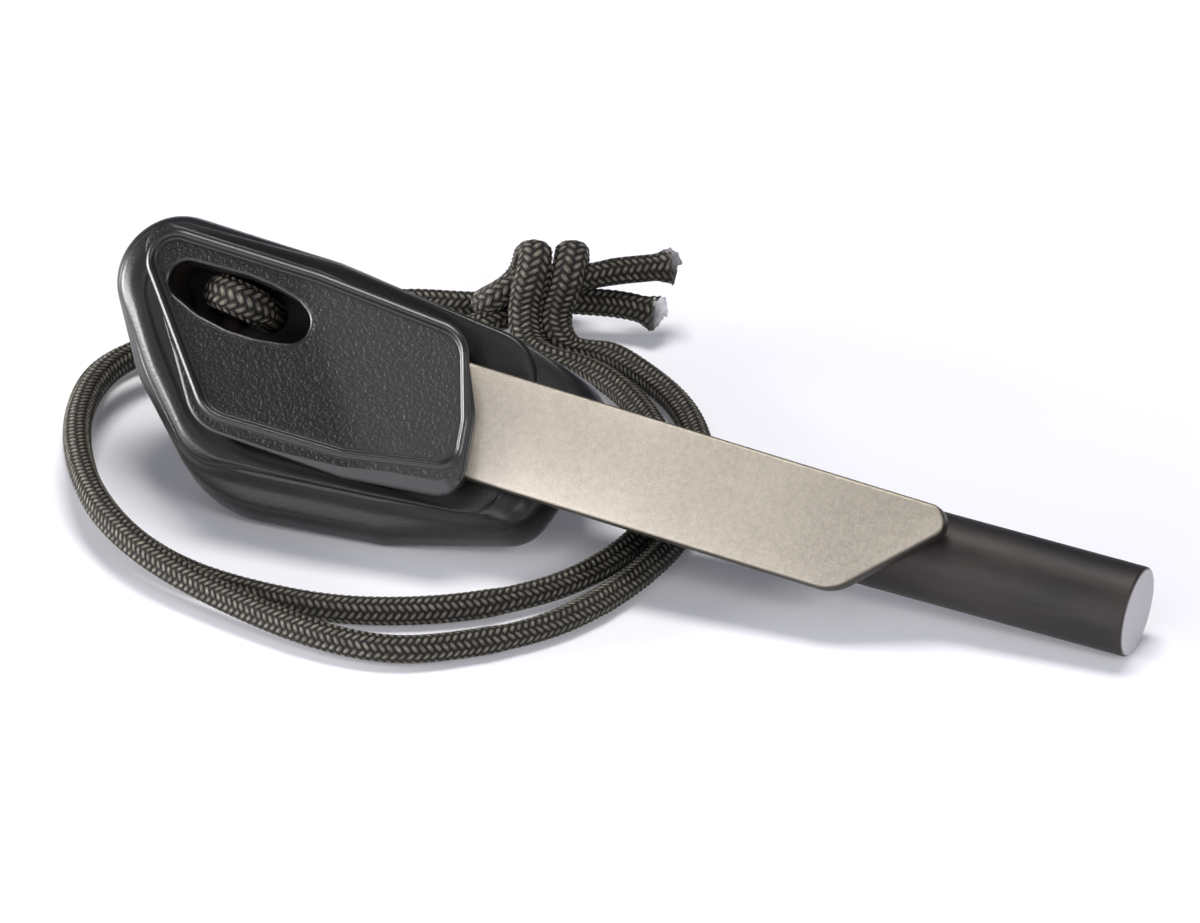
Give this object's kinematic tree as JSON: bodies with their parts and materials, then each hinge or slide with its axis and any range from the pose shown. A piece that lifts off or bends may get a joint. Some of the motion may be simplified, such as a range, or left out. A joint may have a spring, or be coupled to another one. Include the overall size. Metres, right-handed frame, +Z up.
{
  "type": "ferro rod fire starter",
  "caption": "Fire starter: a striking rod held in a moulded handle, with a nested lift-out steel scraper and a knotted lanyard, lying as at rest on a table.",
  "frame": {"origin": "on the flat of the handle's bulged flank that the tool rests on, level with the surface", "axes": "+X toward the rod's free end along the surface, +Z up from the surface, +Y away from the side that the scraper faces"},
  "size_m": [0.1235, 0.0827, 0.0285],
  "materials": {
    "handle_plastic": "satin charcoal",
    "rod_metal": "dark coated ferrocerium, light grey on its cut end",
    "head_plastic": "leather grain with a smooth border",
    "blade_steel": "warm satin",
    "lanyard_cord": "dark braid with light flecks"
  },
  "bodies": {
    "handle": {"handle": "handle_plastic", "ferro_rod": "rod_metal", "cord_outer": "lanyard_cord", "cord_inner": "lanyard_cord", "cord_knot": "lanyard_cord", "cord_tail_upper": "lanyard_cord", "cord_tail_lower": "lanyard_cord"},
    "scraper": {"scraper_head": "head_plastic", "scraper_blade": "blade_steel", "cord_bight": "lanyard_cord"}
  },
  "joints": [
    {"name": "scraper_lift", "type": "slide", "parent": "handle", "child": "scraper", "axis": [0.0511, -0.796, 0.6031], "range_m": [0, 0.012]}
  ]
}
